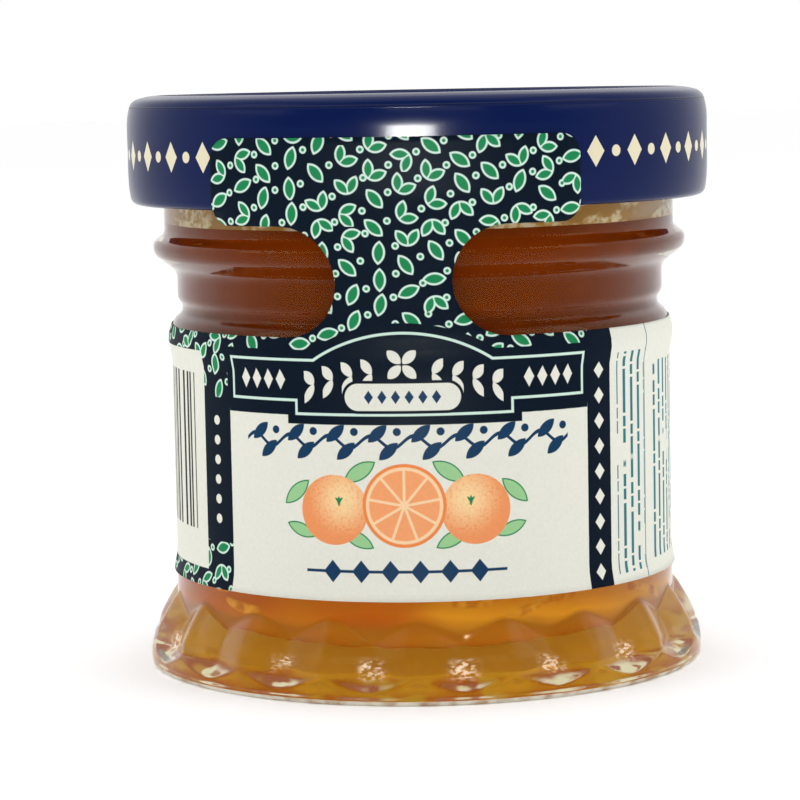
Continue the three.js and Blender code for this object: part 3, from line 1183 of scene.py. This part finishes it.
@dataclass
class PaperLabel:
    """The paper label: a band round the panel, and a tab stretched up on to the lid."""

    lid_radius: float
    head_top: float = 41.5
    turn: float = math.radians(-5.7)
    panel_radius: float = 19.63
    ridge_radius: float = 19.89
    thickness: float = 0.1
    lid_gap: float = 0.14
    lid_touch: float = 37.3
    waist_half: float = 4.3
    window_radius: float = 4.15
    head_half: float = 14.5
    head_corner: float = 1.6
    overlap: float = 1.7
    lap_start: float = 2.6
    lap_ramp: float = 0.9
    lap_gap: float = 0.03
    column: float = 1.1
    row: float = 0.6

    @property
    def half_band(self) -> float:
        """Returns half the band's length."""
        return math.pi * self.panel_radius

    def radius(self, height: float) -> float:
        """Returns the paper's outer radius at a height."""
        head = self.lid_radius + self.lid_gap
        profile = [
            (BAND_BOTTOM, self.ridge_radius), (BAND_BOTTOM + 1.4, self.panel_radius),
            (BAND_TOP - 2.7, self.panel_radius), (BAND_TOP - 1.5, self.ridge_radius),
            (BAND_TOP - 0.9, self.ridge_radius), (BAND_TOP, self.ridge_radius - 0.25),
            (self.lid_touch, head), (self.head_top + 1, head),
        ]
        for (low, start), (high, end) in zip(profile, profile[1:]):
            if height <= high:
                return start + (end - start) * max(0.0, height - low) / (high - low)
        return head

    def outline(self) -> Outline:
        """Returns the sheet's flat outline as (across, up), going round once."""
        steps = 14
        window = self.waist_half + self.window_radius
        middle = BAND_TOP + self.window_radius
        edge = self.head_half - self.head_corner

        def arc(across: float, up: float, size: float, start: float, end: float) -> Outline:
            """Returns an arc's points, from one angle in degrees to another."""
            angles = [math.radians(start + (end - start) * i / steps) for i in range(steps + 1)]
            return [(across + size * math.cos(a), up + size * math.sin(a)) for a in angles]

        head_low = BAND_TOP + 2 * self.window_radius
        right = [
            *arc(window, middle, self.window_radius, 270, 90),
            *arc(edge, head_low + self.head_corner, self.head_corner, 270, 360),
            *arc(edge, self.head_top - self.head_corner, self.head_corner, 0, 90),
        ]
        left = [(-across, up) for across, up in reversed(right)]
        foot = [(-self.half_band, BAND_TOP), (-self.half_band, BAND_BOTTOM)]
        end = self.half_band + self.overlap
        return [*right, *left, *foot, (end, BAND_BOTTOM), (end, BAND_TOP)]

    def build(self) -> bpy.types.Object:
        """Returns the label, wrapped, with its print map in millimetres."""
        bm = bmesh.new()
        face = bm.faces.new([bm.verts.new((across, up, 0)) for across, up in self.outline()])
        face.normal_update()
        columns = int((self.half_band + self.overlap) / self.column)
        for i in range(-columns, columns + 1):
            self.slice(bm, (i * self.column, 0, 0), (1, 0, 0))
        rows = int((self.head_top - BAND_BOTTOM) / self.row)
        for i in range(1, rows + 1):
            self.slice(bm, (0, BAND_BOTTOM + i * self.row, 0), (0, 1, 0))
        print_map = bm.loops.layers.uv.new(PRINT_MAP)
        for part in bm.faces:
            for loop in part.loops:
                loop[print_map].uv = loop.vert.co.xy
        for vert in bm.verts:
            across, up = vert.co.x, vert.co.y
            lap = min(1.0, max(0.0, (across - self.half_band + self.lap_start) / self.lap_ramp))
            radius = self.radius(up) + lap * (self.thickness + self.lap_gap)
            angle = self.turn + across / (self.radius(up) if up > BAND_TOP else self.panel_radius)
            vert.co = Vector((radius * math.sin(angle), -radius * math.cos(angle), up))
        materials = [LabelPrint().material(), PlainPaper().material()]
        piece = make_piece("paper_label", bm, materials, "label_paper", ["label"])
        wall = piece.modifiers.new("paper", "SOLIDIFY")
        wall.thickness = self.thickness * MM
        wall.offset = -1.0
        wall.material_offset = 1
        return piece

    def slice(self, bm: bmesh.types.BMesh, point: Sequence[float], normal: Sequence[float]) -> None:
        """Cuts the flat sheet along the line through a point and across a normal."""
        geometry = [*bm.verts, *bm.edges, *bm.faces]
        bmesh.ops.bisect_plane(bm, geom=geometry, dist=1e-5, plane_co=point, plane_no=normal)


class LampShape(Enum):
    """The outline of a soft light."""

    BOX = "RECTANGLE"
    DISC = "ELLIPSE"


class Softbox(NamedTuple):
    """A soft light: its name, where it hangs, its size, its power in watts, and its outline."""

    name: str
    place: tuple[float, float, float]
    width: float
    height: float
    power: float
    shape: LampShape = LampShape.BOX


@dataclass
class Studio:
    """The floor, the lights and the camera."""

    distance: float = 240.0
    aside: float = -1.72
    eye_height: float = 45.98
    pitch: float = math.radians(6.13)
    roll: float = math.radians(1.1)
    focal_pixels: float = 3042.0
    frame_pixels: float = 800.0
    sensor: float = 36.0
    floor_half: float = 3000.0
    surround: float = 1.1
    dimming: float = 0.7
    aim_height: float = 25.0
    softboxes: tuple[Softbox, ...] = (
        Softbox("softbox_left", (-420, -160, 330), 300, 300, 0.35),
        Softbox("softbox_right", (420, -160, 330), 300, 300, 0.35),
        Softbox("softbox_above", (0, 60, 520), 420, 420, 0.4),
        Softbox("softbox_front", (60, -520, 330), 360, 160, 0.35),
    )
    glint: Softbox = Softbox("glint", (-12, -250, 42.3), 84, 3, 0.8, LampShape.DISC)

    def build(self) -> bpy.types.Object:
        """Makes everything that isn't part of the jar, and returns the floor."""
        floor = self.floor()
        self.world()
        for softbox in self.softboxes:
            self.hang(softbox)
        glint = self.hang(self.glint)
        glint.visible_diffuse = False
        glint.visible_transmission = False
        self.camera()
        return floor

    def floor(self) -> bpy.types.Object:
        """Returns the pale floor."""
        bm = bmesh.new()
        bmesh.ops.create_grid(bm, x_segments=8, y_segments=8, size=self.floor_half)
        return make_piece("floor", bm, [PaleFloor().material()], None)

    def world(self) -> None:
        """Makes a white surround, dimmer on the side that the photographer stands on."""
        world = bpy.data.worlds.new("surround")
        bpy.context.scene.world = world
        graph = Graph(world)
        direction = graph.node("ShaderNodeTexCoord", output="Generated")
        front = graph.split(direction)[1]
        dim = (front * -1).ramp(0.0, 0.7) * self.dimming
        seen = graph.node("ShaderNodeLightPath", output="Is Camera Ray")
        strength = (self.surround - dim) * (1 - seen) + seen
        shader = graph.node("ShaderNodeBackground", inputs={"Color": WHITE, "Strength": strength})
        graph.finish(shader, "ShaderNodeOutputWorld")

    def hang(self, softbox: Softbox) -> bpy.types.Object:
        """Returns the lamp of one soft light, turned to face the middle of the jar."""
        light = bpy.data.lights.new(softbox.name, "AREA")
        light.shape = softbox.shape.value
        light.size = softbox.width * MM
        light.size_y = softbox.height * MM
        light.energy = softbox.power
        lamp = bpy.data.objects.new(softbox.name, light)
        bpy.context.scene.collection.objects.link(lamp)
        where = Vector(softbox.place) * MM
        aim = Vector((0, 0, self.aim_height * MM)) - where
        lamp.matrix_world = Matrix.Translation(where) @ aim.to_track_quat("-Z", "Y").to_matrix().to_4x4()
        lamp.visible_camera = False
        return lamp

    def camera(self) -> None:
        """Places the camera where the photograph was taken from."""
        lens = bpy.data.cameras.new("camera")
        lens.sensor_width = self.sensor
        lens.lens = self.focal_pixels / self.frame_pixels * self.sensor
        lens.clip_start = 0.01
        eye = bpy.data.objects.new("camera", lens)
        bpy.context.scene.collection.objects.link(eye)
        where = Vector((self.aside, -self.distance, self.eye_height)) * MM
        tilt = Matrix.Rotation(math.pi / 2 - self.pitch, 4, "X")
        roll = Matrix.Rotation(-self.roll, 4, "Z")
        eye.matrix_world = Matrix.Translation(where) @ tilt @ roll
        bpy.context.scene.camera = eye
        bpy.context.scene.view_settings.view_transform = "Standard"


def main() -> None:
    """Builds the jar from the foot up and the studio round it, and reports each piece."""
    logging.basicConfig(level=logging.INFO, format="%(name)s %(relativeCreated)d ms: %(message)s")
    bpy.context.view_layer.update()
    low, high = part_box("lid")
    lid_radius = (high.x - low.x) / 2 / MM
    jar = GlassJar(KnobBelt())
    filling = Filling(jar)
    lid = TwistLid(top=high.z / MM, bottom=low.z / MM, radius=lid_radius)
    label = PaperLabel(lid_radius)
    builders = [
        jar.build, filling.build, filling.build_peel, filling.build_smear,
        lid.build, label.build, Studio().build,
    ]
    for build in builders:
        piece = build()
        LOG.info("%s: %d faces", piece.name, len(piece.data.polygons))


if __name__ == "__main__":
    main()
